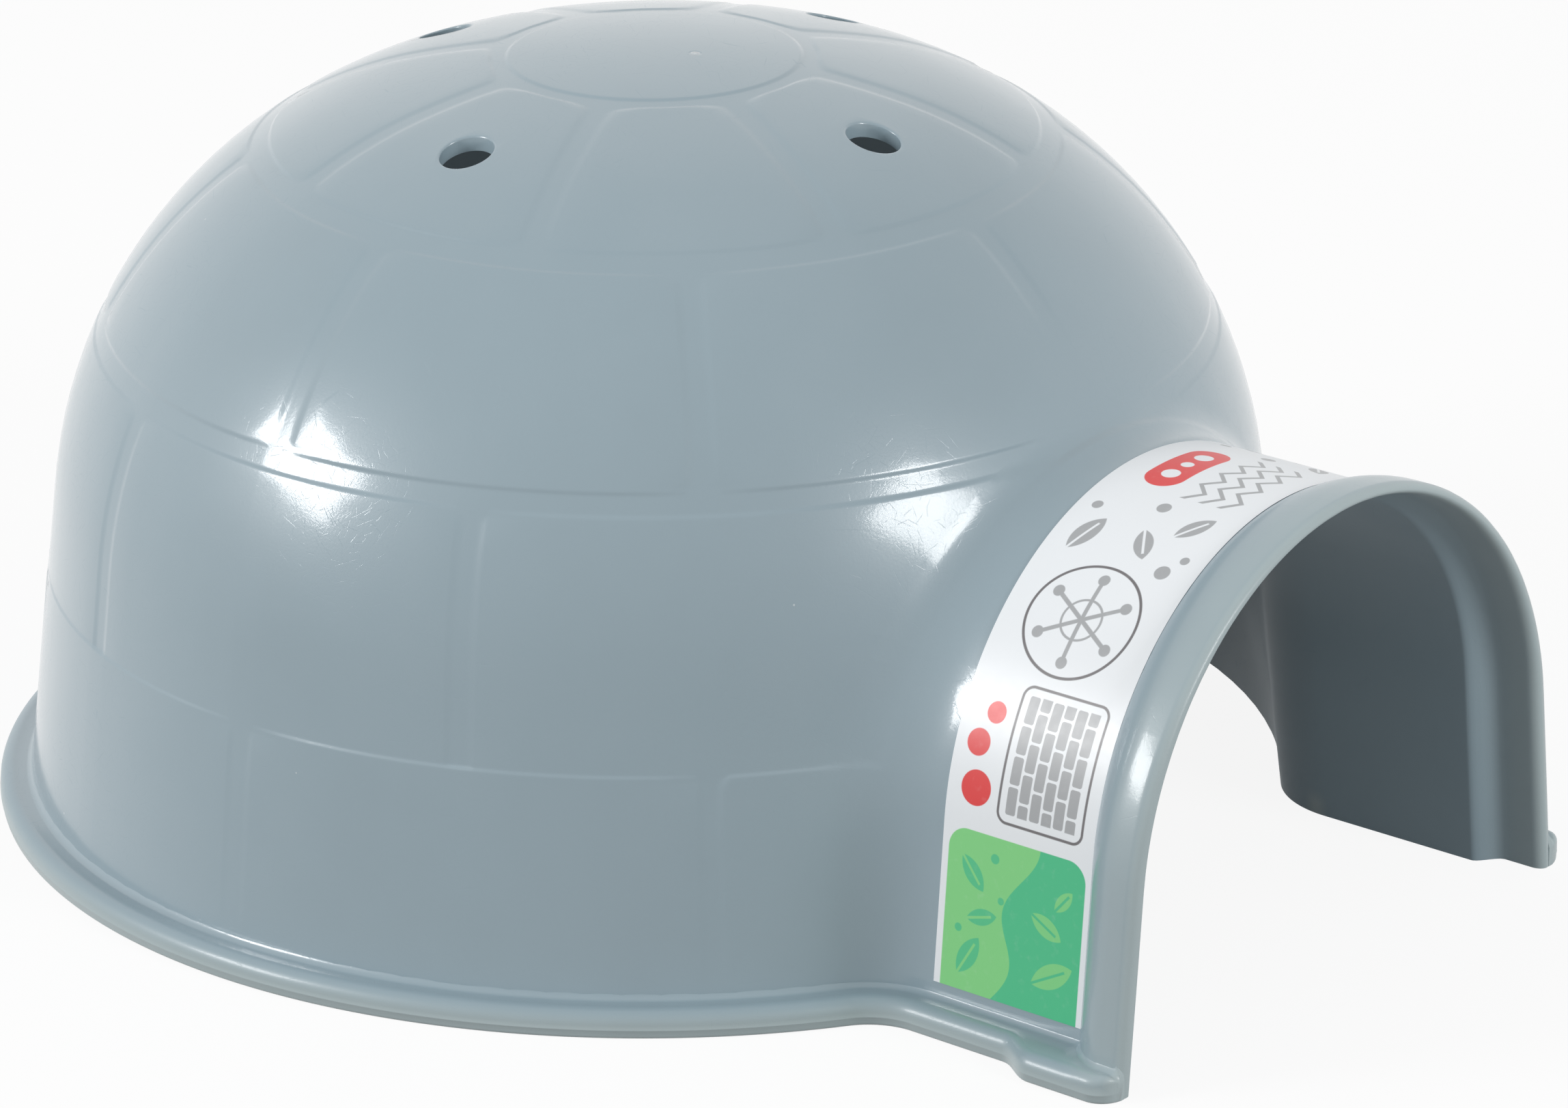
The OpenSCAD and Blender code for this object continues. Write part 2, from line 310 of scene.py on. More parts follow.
def smooth(low, high, value):
    f = np.clip((value - low) / (high - low), 0.0, 1.0)
    return f * f * (3 - 2 * f)


# Radius of the arch's crown, which the leaning legs touch
def archRadius(width, height):
    return (width * math.cos(tilt) - height * math.sin(tilt)) / (1 - math.sin(tilt))


# Angle round the arch's crown at a place
def archTurn(place):
    return tilt + (math.pi - 2 * tilt) * np.clip(place - 1.0, 0.0, 1.0)


# The tunnel's outline: place runs from 0 to 1 up the right leg, from 1 to 2 over
# the crown and from 2 to 3 down the left leg
def archPoint(place, width, height):
    radius = archRadius(width, height)
    topX = radius * math.cos(tilt)
    topZ = height - radius + radius * math.sin(tilt)
    low = np.minimum(place, 3.0 - place)
    turn = archTurn(place)
    side = np.where(place < 1.5, 1.0, -1.0)
    x = np.where(low < 1.0, side * (width + (topX - width) * low), radius * np.cos(turn))
    z = np.where(low < 1.0, topZ * low, height - radius + radius * np.sin(turn))
    return x, z


# Direction away from the tunnel, level at the ground and square to it above
def archNormal(place):
    low = np.minimum(place, 3.0 - place)
    turn = archTurn(place)
    rise = smooth(0.0, 0.6, low)
    legX = np.where(place < 1.5, 1.0, -1.0) * np.cos(tilt * rise)
    x = np.where(low < 1.0, legX, np.cos(turn))
    z = np.where(low < 1.0, np.sin(tilt * rise), np.sin(turn))
    return x, z


# The blend at each place of the arch is an arc that leaves the neck at blendY and
# touches the dome: its radius, the angle where it ends, and where that is
def blendTable(places):
    x0, z0 = archPoint(places, tunnel["halfWidth"], tunnel["crownHeight"])
    nx, nz = archNormal(places)
    reach, samples, tries, largest = 34.0, 1361, 34, 30.0
    out = np.linspace(0.0, reach, samples)

    def front(u):
        x = x0[:, None] + nx[:, None] * u
        z = z0[:, None] + nz[:, None] * u
        return -np.sqrt(np.maximum(domeRadius(z) ** 2 - x ** 2, 0.01))

    y = front(out[None, :])
    low = np.zeros(len(places))
    high = np.full(len(places), largest)
    for _ in range(tries):
        radius = (low + high) / 2
        away = np.hypot(out[None, :] - radius[:, None], y - tunnel["blendY"]).min(axis=1)
        low = np.where(away > radius, radius, low)
        high = np.where(away > radius, high, radius)
    away = np.hypot(out[None, :] - radius[:, None], y - tunnel["blendY"])
    k = np.clip(away.argmin(axis=1), 1, len(out) - 2)
    row = np.arange(len(places))
    a, b, c = away[row, k - 1], away[row, k], away[row, k + 1]
    touch = out[k] + (out[1] - out[0]) * 0.5 * (a - c) / (a - 2 * b + c)
    touchY = front(touch[:, None])[:, 0]
    endAngle = np.arctan2(touchY - tunnel["blendY"], touch - radius)
    return {
        "place": places,
        "radius": radius,
        "endAngle": endAngle,
        "x": x0 + nx * touch,
        "z": z0 + nz * touch,
        "y": touchY,
    }


# Point of the blend, f running from 0 at the dome to 1 at the neck, with depth
# measured into the plastic
def blendPoint(place, f, depth=0.0):
    radius = np.interp(place, blend["place"], blend["radius"])
    end = np.interp(place, blend["place"], blend["endAngle"])
    angle = end + (math.pi - end) * f
    x0, z0 = archPoint(place, tunnel["halfWidth"], tunnel["crownHeight"])
    nx, nz = archNormal(place)
    u = radius + (radius + depth) * np.cos(angle)
    y = tunnel["blendY"] + (radius + depth) * np.sin(angle)
    return x0 + nx * u, y, z0 + nz * u


# How deep the skin is pressed in: the courses are set back above the first
# one, and every block is a pad with rounded corners between its joints. The
# upright joints are softer and shallower, and fade out where plain is 1.
def pressedIn(t, turn, plain=0.0):
    half = courses["jointWidth"] / 2
    r = profilePoint(t)[0]
    step = 2 * math.pi / courses["blocks"]
    lines, tops, disc = courses["lines"], courses["bedTops"], courses["discRing"]
    below, above = -50.0, 400.0  # well past the ground and the crown
    edges = [
        (below, lines[0], 0.0),
        (below, lines[1], 0.5),
        (tops[1], lines[2], 0.0),
        (tops[2], disc[0], 0.5),
        (disc[1], above, None),
    ]
    pads = []
    for bottom, top, shift in edges:
        upright = np.minimum(t - bottom, top - t)
        if shift is None:
            inside = upright
        else:
            around = np.abs((turn / step - shift + 0.5) % 1.0 - 0.5) * step * r - half
            around = around * courses["edge"] / courses["uprightEdge"] + plain * 9.0
            corner = courses["corner"]
            nearX = np.maximum(corner - around, 0.0)
            nearZ = np.maximum(corner - upright, 0.0)
            rounded = corner - np.hypot(nearX, nearZ)
            both = (around < corner) & (upright < corner)
            inside = np.where(both, rounded, np.minimum(around, upright))
        edge = courses["edge"] if pads else courses["ledgeEdge"]
        pads.append(smooth(-edge, edge, inside))
    marks = lines + tops[1:] + disc
    toBed = np.minimum.reduce([np.abs(t - mark) for mark in marks])
    shallow = smooth(*courses["shallowFrom"], toBed)
    depth = courses["jointDepth"] * (1 - shallow) + courses["uprightDepth"] * shallow
    upper = courses["setBack"] + depth * (1 - np.maximum.reduce(pads[1:]))
    ledge = courses["ledgeEdge"]
    overLedge = smooth(lines[0] - ledge, lines[0] + ledge, t)
    near = smooth(lines[0] - 9.0, lines[0] - 0.5, t)
    low = courses["lowUprightDepth"] + (courses["setBack"] - courses["lowUprightDepth"]) * near
    jointFloor = low + (upper - low) * overLedge
    firstPad = np.where(t < lines[0] + 1.0, pads[0], 0.0)
    return jointFloor * (1 - firstPad)


print("blend between neck and dome")
blend = blendTable(np.concatenate([
    np.linspace(0.0, 1.0, 61),
    np.linspace(1.0, 2.0, 181)[1:],
    np.linspace(2.0, 3.0, 61)[1:],
]))


# Rows of the dome, as distances up its side: close together at a bed joint
def profileRows():
    marks = [courses["lines"][0]]
    for low, high in zip(courses["lines"][1:], courses["bedTops"][1:]):
        marks += [low, high]
    marks += courses["discRing"]
    close = sorted(mark + side * step for mark in marks for side in (-1, 1) for step in courses["near"])
    rows = list(dome["lowRows"])
    narrowest = 0.08
    for place in close + [profileLength]:
        gap = place - rows[-1]
        count = max(1, math.ceil(gap / dome["rowGap"]))
        if gap > narrowest:
            rows += [rows[-1] + gap * (k + 1) / count for k in range(count)]
    return rows


# Turns an even angle into one with columns gathered round the upright joints
def gathered(turn, r):
    half = math.pi / courses["blocks"] / 2
    place = turn / (2 * half)
    f = (place - round(place)) * 2
    share = courses["columnShare"]
    narrow = min(courses["columnWidth"] / r, share * half)
    if abs(f) < share:
        moved = narrow * abs(f) / share
    else:
        moved = narrow + (half - narrow) * (abs(f) - share) / (1 - share)
    return round(place) * 2 * half + math.copysign(moved, f)


def addObject(name, data):
    piece = bpy.data.objects.new(name, data)
    bpy.context.scene.collection.objects.link(piece)
    return piece


def makeObject(name, bm):
    mesh = bpy.data.meshes.new(name)
    bm.to_mesh(mesh)
    bm.free()
    return addObject(name, mesh)


def makeDomeSolid():
    bm = bmesh.new()
    last = None
    for t in profileRows():
        r, z = profilePoint(np.array(t))
        point = bm.verts.new((max(float(r), 0.0), 0, float(z)))
        if last:
            bm.edges.new((last, point))
        last = point
    bmesh.ops.spin(
        bm,
        geom=bm.verts[:] + bm.edges[:],
        cent=(0, 0, 0),
        axis=(0, 0, 1),
        angle=2 * math.pi,
        steps=dome["columns"],
        use_merge=True,
    )
    bmesh.ops.remove_doubles(bm, verts=bm.verts[:], dist=0.001)
    for v in bm.verts:
        r = math.hypot(v.co.x, v.co.y)
        if r > 0.01:
            turn = gathered(math.atan2(v.co.y, v.co.x), r)
            v.co.x = r * math.cos(turn)
            v.co.y = r * math.sin(turn)
    bmesh.ops.holes_fill(bm, edges=[e for e in bm.edges if e.is_boundary], sides=0)
    bmesh.ops.recalc_face_normals(bm, faces=bm.faces[:])
    return makeObject("domeSolid", bm)


# A block through the front of the dome where the blend touches it, and one
# cylinder for each vent
def makeCutters():
    bm = bmesh.new()
    frontY, length, underGround, ventDepth = -120.0, 80.0, -4.0, 36.0
    places = np.linspace(0.0, 3.0, 151)
    x = np.interp(places, blend["place"], blend["x"])
    z = np.interp(places, blend["place"], blend["z"])
    z[0] = z[-1] = underGround
    face = bm.faces.new([bm.verts.new((px, frontY, pz)) for px, pz in zip(x, z)])
    made = bmesh.ops.extrude_face_region(bm, geom=[face])
    moved = [g for g in made["geom"] if isinstance(g, bmesh.types.BMVert)]
    bmesh.ops.translate(bm, verts=moved, vec=(0, length, 0))
    for k in range(vents["count"]):
        turn = 2 * math.pi * k / vents["count"]
        x = vents["ringRadius"] * math.cos(turn)
        y = vents["ringRadius"] * math.sin(turn)
        wide = vents["diameter"] / 2 + vents["edgeRound"]
        bmesh.ops.create_cone(
            bm,
            cap_ends=True,
            segments=vents["sides"],
            radius1=wide,
            radius2=wide,
            depth=ventDepth,
            matrix=Matrix.Translation((x, y, dome["height"])),
        )
    bmesh.ops.recalc_face_normals(bm, faces=bm.faces[:])
    return makeObject("openings", bm)


# The dome's skin with its openings cut
def cutSkin():
    solid = makeDomeSolid()
    openings = makeCutters()
    cut = solid.modifiers.new("cut", "BOOLEAN")
    cut.operation = "DIFFERENCE"
    cut.solver = "EXACT"
    cut.object = openings
    graph = bpy.context.evaluated_depsgraph_get()
    mesh = bpy.data.meshes.new_from_object(solid.evaluated_get(graph))
    merged, thinnest, offSkin = 0.01, 0.002, 0.15
    bm = bmesh.new()
    bm.from_mesh(mesh)
    bpy.data.objects.remove(solid)
    bpy.data.objects.remove(openings)
    bmesh.ops.remove_doubles(bm, verts=bm.verts[:], dist=merged)
    bmesh.ops.dissolve_degenerate(bm, edges=bm.edges[:], dist=thinnest)
    faces = bm.faces[:]
    middle = np.array([face.calc_center_median() for face in faces])
    r = np.hypot(middle[:, 0], middle[:, 1])
    skinR, skinZ = profilePoint(profilePlace(r, middle[:, 2]))
    off = np.hypot(r - skinR, middle[:, 2] - skinZ)
    cutFaces = [face for face, gap in zip(faces, off) if gap > offSkin]
    bmesh.ops.delete(bm, geom=cutFaces, context="FACES")
    return bm


# Extrudes a chain of edges: its new points and the chain that they make
def nextRow(bm, chain):
    made = bmesh.ops.extrude_edge_only(bm, edges=chain)["geom"]
    points = {g for g in made if isinstance(g, bmesh.types.BMVert)}
    lines = [g for g in made if isinstance(g, bmesh.types.BMEdge)]
    return points, [e for e in lines if e.verts[0] in points and e.verts[1] in points]


# Each point of the shell keeps the part that it is on, its place round the arch
# and its row: f on the blend, y on the tunnel and an angle on a rounded edge
onDome, onBlend, onTunnel, onLip, onVent = range(5)


# Edges of the openings: round the tunnel, and round the vents
def openEdges(bm):
    free = [e for e in bm.edges if e.is_boundary and max(v.co.z for v in e.verts) > 0.01]
    arch = [e for e in free if e.verts[0].co.z < dome["upperZ"]]
    return arch, [e for e in free if e.verts[0].co.z > dome["upperZ"]]


def makeShell():
    bm = cutSkin()
    part = bm.verts.layers.int.new("part")
    place = bm.verts.layers.float.new("place")
    row = bm.verts.layers.float.new("row")
    inner = bm.verts.layers.float.new("inner")
    arch = openEdges(bm)[0]
    bmesh.ops.remove_doubles(bm, verts=list({v for e in arch for v in e.verts}), dist=0.2)
    arch, holes = openEdges(bm)
    print(len(arch), "edges round the tunnel,", len(holes), "round the vents")
    for v in {v for e in arch for v in e.verts}:
        away = np.hypot(blend["x"] - v.co.x, blend["z"] - v.co.z)
        near = np.argsort(away)[:2]
        share = away[near[0]] / away[near].sum()
        v[place] = float(blend["place"][near] @ np.array([1 - share, share]))
        if v.co.z < 0.01:
            v[place] = 0.0 if v.co.x > 0 else 3.0
        v[part] = onBlend
    chain = arch
    for k in range(tunnel["blendSteps"]):
        points, chain = nextRow(bm, chain)
        for v in points:
            v[row] = (k + 1) / tunnel["blendSteps"]
    lipY = tunnel["mouthY"] + tunnel["lipRound"]
    rows = [*tunnel["neckRows"], tunnel["flareY"], *tunnel["collarRows"], lipY]
    steps = [(onTunnel, y) for y in rows] + [(onLip, angle) for angle in tunnel["lipAngles"]]
    for kind, value in steps:
        points, chain = nextRow(bm, chain)
        for v in points:
            v[part] = kind
            v[row] = value
    for v in {v for e in holes for v in e.verts}:
        v[part] = onVent
    chain = holes
    for angle in vents["edgeAngles"]:
        points, chain = nextRow(bm, chain)
        for v in points:
            v[row] = angle
    bmesh.ops.recalc_face_normals(bm, faces=bm.faces[:])
    skin = set(bm.verts)
    bmesh.ops.solidify(bm, geom=bm.faces[:], thickness=1.0)
    print(len(skin), "points outside,", len(bm.verts) - len(skin), "inside")
    placeWall(skin, part, place, row, False)
    inside = [v for v in bm.verts if v not in skin]
    placeWall(inside, part, place, row, True)
    for v in inside:
        v[inner] = 1.0
    return bm


# Height of the upper dome at a radius
def domeHeight(r, depth=0.0):
    shoulder = dome["shoulderRadius"] - depth
    crown = dome["crownRadius"] - depth
    crownH = crownZ + np.sqrt(np.maximum(crown ** 2 - r ** 2, 0))
    out = np.maximum(r - shoulderC[0], 0)
    shoulderH = shoulderC[1] + np.sqrt(np.maximum(shoulder ** 2 - out ** 2, 0))
    return np.where(r < crown * math.cos(shoulderEnd), crownH, shoulderH)


# How far the collar has flared out at y, from 0 on the neck to 1 at the mouth
def flare(y):
    run = np.clip((tunnel["flareY"] - y) / (tunnel["flareY"] - tunnel["flareEndY"]), 0.0, 1.0)
    return 1 - (1 - run) ** 2


# Puts the points of one side of the wall where they belong
def placeWall(points, part, place, row, inside):
    points = list(points)
    parts = np.array([v[part] for v in points])
    places = np.array([v[place] for v in points])
    rows = np.array([v[row] for v in points])
    x, y, z = np.array([v.co for v in points]).T.copy()

    on = parts == onDome
    r = np.hypot(x[on], y[on])
    turn = np.arctan2(y[on], x[on])
    t = profilePlace(r, z[on])
    if inside:
        level = smooth(*dome["levelInside"], r)
        newR = profilePoint(t, dome["wall"])[0] * (1 - level) + r * level
        newZ = profilePoint(t, dome["wall"])[1]
        newZ = np.where(r < dome["upperRadius"], domeHeight(newR, dome["wall"]), newZ)
    else:
        archPlace = np.linspace(0, 3, 121)
        edgeX = np.interp(archPlace, blend["place"], blend["x"])
        edgeZ = np.interp(archPlace, blend["place"], blend["z"])
        away = np.hypot(x[on][:, None] - edgeX, z[on][:, None] - edgeZ).min(axis=1)
        plain = smooth(*courses["archFade"], away) * (y[on] < courses["frontY"])
        newR, newZ = profilePoint(t, pressedIn(t, turn, plain) * smooth(*courses["startZ"], t))
    x[on], y[on], z[on] = newR * np.cos(turn), newR * np.sin(turn), np.maximum(newZ, 0)

    on = parts == onBlend
    f = rows[on]
    if inside:
        high = archNormal(places[on])[1]
        neckWall = tunnel["wall"] + (tunnel["crownWall"] - tunnel["wall"]) * high
        depth = dome["wall"] + (neckWall - dome["wall"]) * f
    else:
        bx, by, bz = blendPoint(places[on], f)
        t = profilePlace(domeRadius(bz), bz)
        depth = pressedIn(t, np.arctan2(by, bx), 1.0)
        depth = depth * smooth(*courses["startZ"], t) * smooth(*courses["blendFade"], f)
    x[on], y[on], z[on] = blendPoint(places[on], f, depth)

    on = (parts == onTunnel) | (parts == onLip)
    lip = parts[on] == onLip
    angle = np.radians(np.where(lip, rows[on], 0.0))
    back = tunnel["lipRound"] * (1 - np.sin(angle))
    high = archNormal(places[on])[1]
    thick = tunnel["wall"] + tunnel["collarOut"] - tunnel["mouthOut"]
    crownThick = tunnel["crownWall"] + tunnel["collarUp"] - tunnel["mouthUp"]
    thick = thick + (crownThick - thick) * high
    thick = thick * (tunnel["innerLip"] if inside else tunnel["outerLip"])
    cut = thick * (1 - np.cos(angle))
    newY = np.where(lip, tunnel["mouthY"] + back, rows[on])
    step = smooth(tunnel["stepY"], tunnel["collarY"], newY)
    if inside:
        wide = tunnel["halfWidth"] - tunnel["wall"] + tunnel["mouthOut"] * step + cut
        tall = tunnel["crownHeight"] - tunnel["crownWall"] + tunnel["mouthUp"] * step + cut
    else:
        step = flare(newY)
        wide = tunnel["halfWidth"] + tunnel["collarOut"] * step - cut
        tall = tunnel["crownHeight"] + tunnel["collarUp"] * step - cut
    x[on], z[on] = archPoint(places[on], wide, tall)
    y[on] = newY

    on = parts == onVent
    which = np.round(np.arctan2(y[on], x[on]) / (2 * math.pi / vents["count"]))
    turn = which * 2 * math.pi / vents["count"]
    middleX = vents["ringRadius"] * np.cos(turn)
    middleY = vents["ringRadius"] * np.sin(turn)
    bearing = np.arctan2(y[on] - middleY, x[on] - middleX)
    angle = np.radians(rows[on])
    wide = vents["diameter"] / 2 + vents["edgeRound"] * (1 - np.sin(angle))
    x[on] = middleX + wide * np.cos(bearing)
    y[on] = middleY + wide * np.sin(bearing)
    r = np.hypot(x[on], y[on])
    drop = vents["edgeRound"] * (1 - np.cos(angle)) + courses["setBack"]
    z[on] = domeHeight(r, dome["wall"]) if inside else domeHeight(r) - drop

    for v, px, py, pz in zip(points, x, y, z):
        v.co = (px, py, pz)


# The rim round the foot of the wall, and the foot at each side of the mouth

rim = {
    "width": 3.6,
    "height": 3.4,
    "bead": 1.7,
    "cove": 1.1,
    "channel": 0.18,
    "mostOfWidth": (0.54, 0.75, 0.1),  # bead, cove and channel on a narrow rim
    "rooted": 1.1,
    "inset": 0.5,
    "partingZ": 1.15,
    "parting": [(-0.02, -0.16), (0.042, -0.06), (0.06, 0.0), (0.03, 0.07)],  # out and up
    "footWidth": 6.2,
    "footStart": -87.6,
    "footFull": -93.2,
    "footCorner": 3.0,
    "lowerEdge": 0.42,
    "collarRows": [-101.1, -100.3, -99.5, -98.7, -98.1, -97.5, -97.0, -96.6, -96.3, -95.85, -95.2, -94.2],
    "neckRows": [-86, -83, -80, -77],
    "footColumns": 12,
    "blendColumns": 24,
    "columns": 120,  # from the blend to the back
}


# Stations of the rim on the right side, from the mouth to the back: a point on
# the wall's foot, the way out from it, the width, and how far the top is down
def rimStations():
    stations = []
    outer = tunnel["halfWidth"] + rim["footWidth"]
    collar = tunnel["halfWidth"] + tunnel["collarOut"]
    corner = rim["footCorner"]
    for angle in range(-86, 1, 6):
        a = math.radians(angle)
        y = tunnel["mouthY"] + corner * (1 + math.sin(a))
        wide = outer - corner + corner * math.cos(a) - collar
        near = max(1 - (y - tunnel["mouthY"]) / rim["bead"], 0)
        down = rim["bead"] * (1 - math.sqrt(1 - near ** 2)) * 0.7
        stations.append((Vector((collar, y)), Vector((1, 0)), max(wide, 0.05), down))
    for y in rim["collarRows"]:
        wall = tunnel["halfWidth"] + tunnel["collarOut"] * float(flare(y))
        stations.append((Vector((wall, y)), Vector((1, 0)), outer - wall, 0.0))
    for k in range(rim["footColumns"] + 1):
        y = rim["footFull"] + (rim["footStart"] - rim["footFull"]) * k / rim["footColumns"]
        wide = float(smooth(rim["footStart"], rim["footFull"], y))
        wide = rim["width"] + (rim["footWidth"] - rim["width"]) * wide
        stations.append((Vector((tunnel["halfWidth"], y)), Vector((1, 0)), wide, 0.0))
    for y in rim["neckRows"]:
        stations.append((Vector((tunnel["halfWidth"], y)), Vector((1, 0)), rim["width"], 0.0))
    radius = float(blend["radius"][0])
    centre = Vector((tunnel["halfWidth"] + radius, tunnel["blendY"]))
    last = math.atan2(-centre.y, -centre.x)
    for k in range(rim["blendColumns"] + 1):
        angle = math.pi + (last - math.pi) * k / rim["blendColumns"]
        way = Vector((-math.cos(angle), -math.sin(angle)))
        stations.append((centre - way * radius, way, rim["width"], 0.0))
    first = math.atan2(centre.y, centre.x)
    for k in range(1, rim["columns"]):
        angle = first + (math.pi / 2 - first) * k / rim["columns"]
        way = Vector((math.cos(angle), math.sin(angle)))
        stations.append((way * dome["baseRadius"], way, rim["width"], 0.0))
    return stations


# Section of the rim: how far out from the wall's foot, and how high
def rimSection(width, down=0.0):
    ofBead, ofCove, ofChannel = rim["mostOfWidth"]
    bead = min(rim["bead"], ofBead * width)
    cove = min(rim["cove"], ofCove * width)
    top = rim["height"] - down
    coveZ = top - min(rim["channel"], ofChannel * width) + cove
    coveX = cove / math.cos(lean) - coveZ * math.tan(lean) - 0.07
    lower, inset = rim["lowerEdge"], rim["inset"]
    points = [(-rim["rooted"], 0.0), (width - inset, 0.0)]
    for angle in (30, 60, 90):
        a = math.radians(angle)
        points.append((width - inset + lower * math.sin(a), lower - lower * math.cos(a)))
    points += [(width + out, rim["partingZ"] + up) for out, up in rim["parting"]]
    for k in range(11):
        a = math.radians(9.6 * k)
        points.append((width - bead + bead * math.cos(a), top - bead + bead * math.sin(a)))
    for k in range(8):
        a = math.radians(262 - (82 - dome["wallLean"]) * k / 7)
        points.append((coveX + cove * math.cos(a), coveZ + cove * math.sin(a)))
    points.append((-rim["rooted"], points[-1][1]))
    return points


def makeRim():
    right = rimStations()
    left = []
    for point, way, width, down in reversed(right):
        left.append((Vector((-point.x, point.y)), Vector((-way.x, way.y)), width, down))
    back = [(Vector((0, dome["baseRadius"])), Vector((0, 1)), rim["width"], 0.0)]
    bm = bmesh.new()
    index = bm.verts.layers.int.new("index")
    count = len(rimSection(rim["width"]))
    ring = [bm.verts.new((0, 0, 0)) for _ in range(count)]
    for k, v in enumerate(ring):
        v[index] = k
    chain = [bm.edges.new((ring[k], ring[(k + 1) % count])) for k in range(count)]
    points = set(ring)
    for number, (wall, way, width, down) in enumerate(right + back + left):
        if number:
            points, chain = nextRow(bm, chain)
        section = rimSection(width, down)
        for v in points:
            s, z = section[v[index]]
            v.co = (wall.x + way.x * s, wall.y + way.y * s, z)
    bmesh.ops.holes_fill(bm, edges=[e for e in bm.edges if e.is_boundary], sides=0)
    bmesh.ops.recalc_face_normals(bm, faces=bm.faces[:])
    return bm


# Adds the faces of one bmesh to another
def addTo(bm, other):
    mesh = bpy.data.meshes.new("added")
    other.to_mesh(mesh)
    other.free()
    bm.from_mesh(mesh)
    bpy.data.meshes.remove(mesh)


sharpAngle = 40.0


def makePiece(name, bm):
    bmesh.ops.transform(bm, matrix=toFrame, verts=bm.verts)
    piece = makeObject(name, bm)
    for polygon in piece.data.polygons:
        polygon.use_smooth = True
    piece.data.set_sharp_from_angle(angle=math.radians(sharpAngle))
    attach(piece, "root")
    return piece


print("shell")
shell = makeShell()
print("rim")
addTo(shell, makeRim())
igloo = makePiece("moulded_igloo", shell)
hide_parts("igloo_shell")
triangles = sum(len(polygon.vertices) - 2 for polygon in igloo.data.polygons)
print(len(igloo.data.polygons), "faces,", triangles, "triangles")


# The label that is wrapped over the neck

label = {
    "backY": -74.6,
    "frontY": -95.86,
    "frontLean": 0.12,
    "endZ": 5.2,
    "lift": 0.02,
    "thickness": 0.13,
    "across": 10,
    "along": 150,
}


def makeLabel():
    bm = bmesh.new()
    uv = bm.loops.layers.uv.new("print")
    side = bm.verts.layers.float.new("side")
    along = bm.verts.layers.float.new("along")
    radius = archRadius(tunnel["halfWidth"], tunnel["crownHeight"])
    legTop = tunnel["crownHeight"] - radius + radius * math.sin(tilt)
    legLength = (legTop - label["endZ"]) / math.cos(tilt)
    crown = radius * (math.pi - 2 * tilt)
    total = 2 * legLength + crown
    lowest = label["endZ"] / legTop
    start = [bm.verts.new((0, 0, 0)) for _ in range(label["across"] + 1)]
    for k, v in enumerate(start):
        v[side] = k / label["across"]
    chain = [bm.edges.new(pair) for pair in zip(start, start[1:])]
    for k in range(1, label["along"] + 1):
        points, chain = nextRow(bm, chain)
        for v in points:
            v[along] = k / label["along"]
    bmesh.ops.recalc_face_normals(bm, faces=bm.faces[:])
    for face in bm.faces:
        for loop in face.loops:
            loop[uv].uv = (loop.vert[along], loop.vert[side])
    outside = set(bm.verts)
    bmesh.ops.solidify(bm, geom=bm.faces[:], thickness=0.1)
    for v in bm.verts:
        s = v[along] * total
        if s < legLength:
            place = lowest + (1 - lowest) * s / legLength
        elif s > legLength + crown:
            place = 2 + (1 - lowest) * (s - legLength - crown) / legLength
        else:
            place = 1 + (s - legLength) / crown
        upper = v in outside
        lift = label["lift"] + (label["thickness"] if upper else 0.0)
        x, z = archPoint(np.array(place), tunnel["halfWidth"] + lift, tunnel["crownHeight"] + lift)
        frontY = label["frontY"] - (label["frontLean"] if upper else 0.0)
        v.co = (x, label["backY"] + (frontY - label["backY"]) * v[side], z)
    bmesh.ops.recalc_face_normals(bm, faces=bm.faces[:])
    return bm, total


print("label")
labelBm, labelLength = makeLabel()
wrap = makePiece("paper_wrap", labelBm)
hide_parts("wrap_label")
print("label", round(labelLength, 1), "mm long")


# Finishes

plastic = {
    "colour": (0.264, 0.349, 0.396, 1.0),
    # painted glow: paler colour painted on the bead, the lip and the collar in place of light shining
    # through and onto them
    "paintedGlow": (0.40, 0.475, 0.485, 1.0),
    "pale": (0.42, 0.48, 0.52, 1.0),
    "deep": (0.15, 0.19, 0.22, 1.0),
    "dust": (0.75, 0.78, 0.78, 1.0),
    "gate": (0.66, 0.70, 0.72, 1.0),
    "gateAt": (0.6, -6.0),
    "roughness": 0.38,
    "coatRoughness": 0.13,
    "shortScratch": (0.0012, 0.0010, 0.00004),  # cell, length and width in metres
    "longScratch": (0.0030, 0.0022, 0.00004),
    "scratchDepth": 0.0000038,
    "grainDepth": 0.000005,
    "rippleDepth": 0.000005,
    "gateRise": 0.00012,
    "gateRing": 0.00005,
}


# Hairline scratches: in each cell of a pattern, a short line in a random direction
def scratches(spot, size, length, width):
    scaled = spot.node("ShaderNodeVectorMath", {"operation": "SCALE"}, {0: spot, 3: 1 / size})
    cells = {"feature": "F1", "voronoi_dimensions": "3D"}
    colour = spot.node("ShaderNodeTexVoronoi", cells, {"Vector": scaled, "Scale": 1.0}, 1)
    middle = Signal(spot.tree, colour.socket.node.outputs["Position"])
    away = scaled.vector("SUBTRACT", middle)
    way = colour.vector("SUBTRACT", (0.5, 0.5, 0.5)).vector("NORMALIZE")
    across = away.vector("DOT_PRODUCT", way, output=1)
    far = away.vector("LENGTH", output=1)
    line = abs(across).ramp(width / size, 0.0)
    return line * far.ramp(length / size, 0.5 * length / size)


